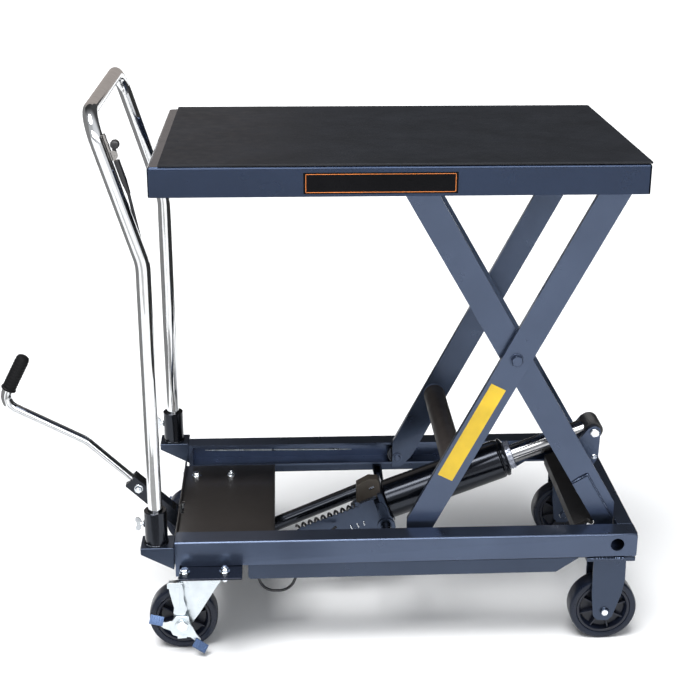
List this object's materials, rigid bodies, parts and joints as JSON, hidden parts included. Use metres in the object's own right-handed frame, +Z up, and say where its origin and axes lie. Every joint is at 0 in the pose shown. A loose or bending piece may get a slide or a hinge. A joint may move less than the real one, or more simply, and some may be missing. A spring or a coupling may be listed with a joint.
{
  "type": "mobile scissor lift table",
  "caption": "Foot-pumped mobile scissor lift table with a flat platform, crossed lifting arms, a hydraulic ram, a push handle and swivel and fixed casters, shown raised.",
  "frame": {"origin": "bottom centre of the whole part's box, on the floor under the casters", "axes": "+X from the push handle towards the fixed casters, +Y across the platform, +Z up"},
  "size_m": [1.1832, 0.544, 1.0013],
  "materials": {
    "frame_paint": "semi-gloss",
    "black_paint": "gloss",
    "zinc": "bright zinc plating",
    "chrome": "polished",
    "platform_mat": "fine pebble",
    "tyre": "satin",
    "wheel_hub": "moulded",
    "grip": "ribbed",
    "cable": "extruded sheath",
    "yellow_strip": "satin film",
    "blank_label": "satin film"
  },
  "bodies": {
    "base": {"rail_near": "frame_paint", "rail_far": "frame_paint", "rear_cross": "frame_paint", "deck": "frame_paint", "mount_plate_near": "frame_paint", "mount_plate_far": "frame_paint", "side_plate_near": "frame_paint", "side_plate_far": "frame_paint", "handle_bracket_near": "frame_paint", "handle_bracket_far": "frame_paint", "handle_socket_near": "black_paint", "handle_socket_far": "black_paint", "handle_tube": "chrome", "rigid_fork_near": "frame_paint", "rigid_fork_far": "frame_paint", "caster_plate_near": "zinc", "caster_plate_far": "zinc", "pump_pivot": "black_paint", "release_bracket": "zinc", "release_cable": "cable"},
    "inner_frame": {"inner_arm_near": "frame_paint", "inner_arm_far": "frame_paint", "inner_cross_plate": "frame_paint", "ram_bracket": "frame_paint", "centre_bolt_near": "zinc", "centre_bolt_far": "zinc"},
    "outer_frame": {"outer_arm_near": "frame_paint", "outer_arm_far": "frame_paint", "outer_cross_tube": "frame_paint"},
    "table": {"table_tray": "frame_paint", "table_mat": "platform_mat", "table_track_near": "frame_paint", "table_track_far": "frame_paint"},
    "ram": {"ram_barrel": "black_paint", "pump_tube": "black_paint", "return_spring": "zinc"},
    "rod": {"piston_rod": "chrome"},
    "pedal": {"pedal_socket": "black_paint", "pedal_tube": "chrome", "pedal_grip": "grip"},
    "release": {"release_lever": "black_paint"},
    "thumb_near": {"thumb_screw_near": "zinc"},
    "thumb_far": {"thumb_screw_far": "zinc"},
    "low_roll_near": {"lower_roller_near": "zinc"},
    "low_roll_far": {"lower_roller_far": "zinc"},
    "top_roll_near": {"upper_roller_near": "zinc"},
    "top_roll_far": {"upper_roller_far": "zinc"},
    "swivel_near": {"swivel_fork_near": "zinc"},
    "swivel_far": {"swivel_fork_far": "zinc"},
    "front_wheel_near": {"front_tyre_near": "tyre", "front_hub_near": "wheel_hub"},
    "front_wheel_far": {"front_tyre_far": "tyre", "front_hub_far": "wheel_hub"},
    "rear_wheel_near": {"rear_tyre_near": "tyre", "rear_hub_near": "wheel_hub"},
    "rear_wheel_far": {"rear_tyre_far": "tyre", "rear_hub_far": "wheel_hub"},
    "brake_near": {"brake_pedal_near": "zinc"},
    "brake_far": {"brake_pedal_far": "zinc"}
  },
  "joints": [
    {"name": "lift", "type": "hinge", "parent": "base", "child": "inner_frame", "pos_m": [0.5279, 0, 0.202], "axis": [0, -1, 0], "range_deg": [0, 50]},
    {"name": "scissor_centre", "type": "hinge", "parent": "inner_frame", "child": "outer_frame", "pos_m": [0.3509, 0, 0.545], "axis": [0, -1, 0], "range_deg": [-100, 0]},
    {"name": "table_pin", "type": "hinge", "parent": "outer_frame", "child": "table", "pos_m": [0.5279, 0, 0.888], "axis": [0, -1, 0], "range_deg": [0, 50]},
    {"name": "ram_tilt", "type": "hinge", "parent": "base", "child": "ram", "pos_m": [0.1359, 0, 0.157], "axis": [0, -1, 0], "range_deg": [-1, 0]},
    {"name": "rod_slide", "type": "slide", "parent": "ram", "child": "rod", "axis": [0.9336, 0, 0.3584], "range_m": [-0.12, 0]},
    {"name": "pedal_stroke", "type": "hinge", "parent": "ram", "child": "pedal", "pos_m": [-0.1961, 0, 0.0907], "axis": [0, -1, 0], "range_deg": [0, 30], "stiffness_Nm_per_rad": 12, "springref_deg": -40.11},
    {"name": "release_pull", "type": "hinge", "parent": "base", "child": "release", "pos_m": [-0.32221, -0.222, 0.9258], "axis": [0, 1, 0], "range_deg": [0, 20], "stiffness_Nm_per_rad": 0.05, "springref_deg": -17.19},
    {"name": "thumb_turn_near", "type": "hinge", "parent": "base", "child": "thumb_near", "pos_m": [-0.3051, -0.222, 0.263], "axis": [1, 0, 0], "continuous": true},
    {"name": "thumb_turn_far", "type": "hinge", "parent": "base", "child": "thumb_far", "pos_m": [-0.3051, 0.222, 0.263], "axis": [1, 0, 0], "continuous": true},
    {"name": "low_roll_turn_near", "type": "hinge", "parent": "outer_frame", "child": "low_roll_near", "pos_m": [0.1739, -0.1935, 0.202], "axis": [0, 1, 0], "continuous": true},
    {"name": "low_roll_turn_far", "type": "hinge", "parent": "outer_frame", "child": "low_roll_far", "pos_m": [0.1739, 0.1935, 0.202], "axis": [0, 1, 0], "continuous": true},
    {"name": "top_roll_turn_near", "type": "hinge", "parent": "inner_frame", "child": "top_roll_near", "pos_m": [0.1739, -0.177, 0.888], "axis": [0, 1, 0], "continuous": true},
    {"name": "top_roll_turn_far", "type": "hinge", "parent": "inner_frame", "child": "top_roll_far", "pos_m": [0.1739, 0.177, 0.888], "axis": [0, 1, 0], "continuous": true},
    {"name": "swivel_turn_near", "type": "hinge", "parent": "base", "child": "swivel_near", "pos_m": [-0.2021, -0.194, 0.158], "axis": [0, 0, 1], "continuous": true},
    {"name": "swivel_turn_far", "type": "hinge", "parent": "base", "child": "swivel_far", "pos_m": [-0.2021, 0.194, 0.158], "axis": [0, 0, 1], "continuous": true},
    {"name": "front_roll_near", "type": "hinge", "parent": "swivel_near", "child": "front_wheel_near", "pos_m": [-0.2466, -0.194, 0.0625], "axis": [0, 1, 0], "continuous": true},
    {"name": "front_roll_far", "type": "hinge", "parent": "swivel_far", "child": "front_wheel_far", "pos_m": [-0.2466, 0.194, 0.0625], "axis": [0, 1, 0], "continuous": true},
    {"name": "rear_roll_near", "type": "hinge", "parent": "base", "child": "rear_wheel_near", "pos_m": [0.5289, -0.194, 0.0625], "axis": [0, 1, 0], "continuous": true},
    {"name": "rear_roll_far", "type": "hinge", "parent": "base", "child": "rear_wheel_far", "pos_m": [0.5289, 0.194, 0.0625], "axis": [0, 1, 0], "continuous": true},
    {"name": "brake_press_near", "type": "hinge", "parent": "swivel_near", "child": "brake_near", "pos_m": [-0.2466, -0.2336, 0.0625], "axis": [0, -1, 0], "range_deg": [0, 12]},
    {"name": "brake_press_far", "type": "hinge", "parent": "swivel_far", "child": "brake_far", "pos_m": [-0.2466, 0.2336, 0.0625], "axis": [0, -1, 0], "range_deg": [0, 12]}
  ],
  "couplings": [
    {"joint": "scissor_centre", "follows": "lift", "ratio": -2},
    {"joint": "table_pin", "follows": "lift", "ratio": 1},
    {"joint": "ram_tilt", "follows": "lift", "ratio": -0.0143},
    {"joint": "rod_slide", "follows": "lift", "m_per_rad": -0.13503}
  ]
}
